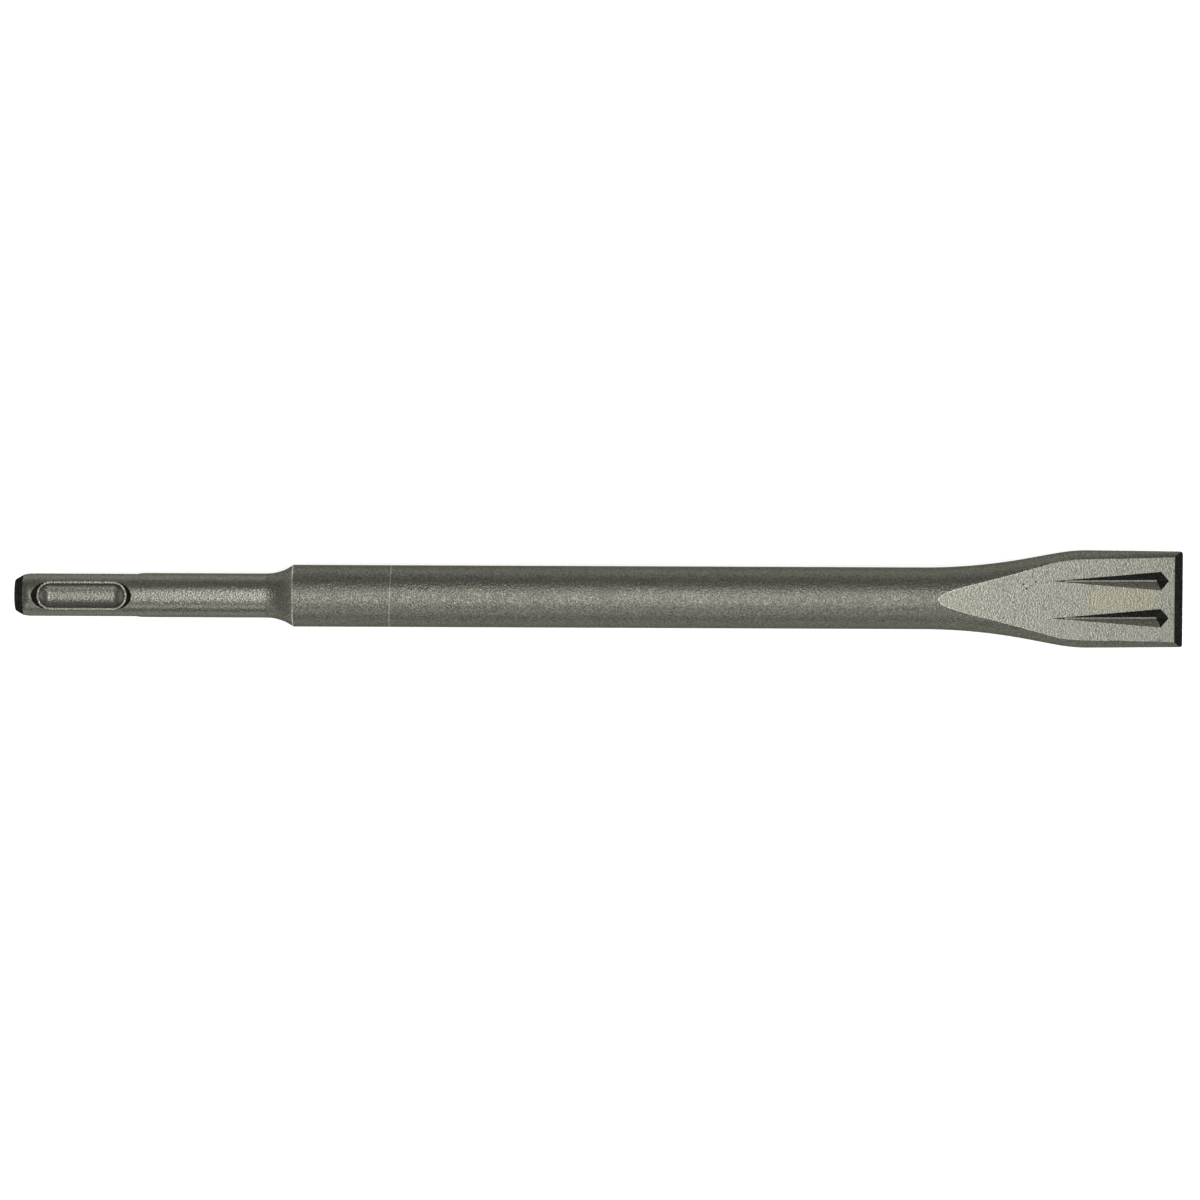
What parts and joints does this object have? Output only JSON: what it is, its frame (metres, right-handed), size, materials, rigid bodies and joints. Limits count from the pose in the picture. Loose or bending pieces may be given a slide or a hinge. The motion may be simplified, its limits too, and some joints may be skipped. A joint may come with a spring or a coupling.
{
  "type": "sds flat chisel",
  "caption": "Forged steel flat chisel for a rotary hammer: slotted round shank, collar, round body and a wide blade with grooved, tapering flat faces.",
  "frame": {"origin": "centre of the struck end face at the rear of the shank, on the tool's axis", "axes": "+X along the tool from the struck end face to the cutting edge, +Z square to the blade's flat faces, Y across the blade's width"},
  "size_m": [0.264, 0.0222, 0.014],
  "materials": {
    "forged_steel": "shot-blasted satin grey forged steel"
  },
  "bodies": {
    "root": {"flat_chisel": "forged_steel"}
  },
  "joints": []
}
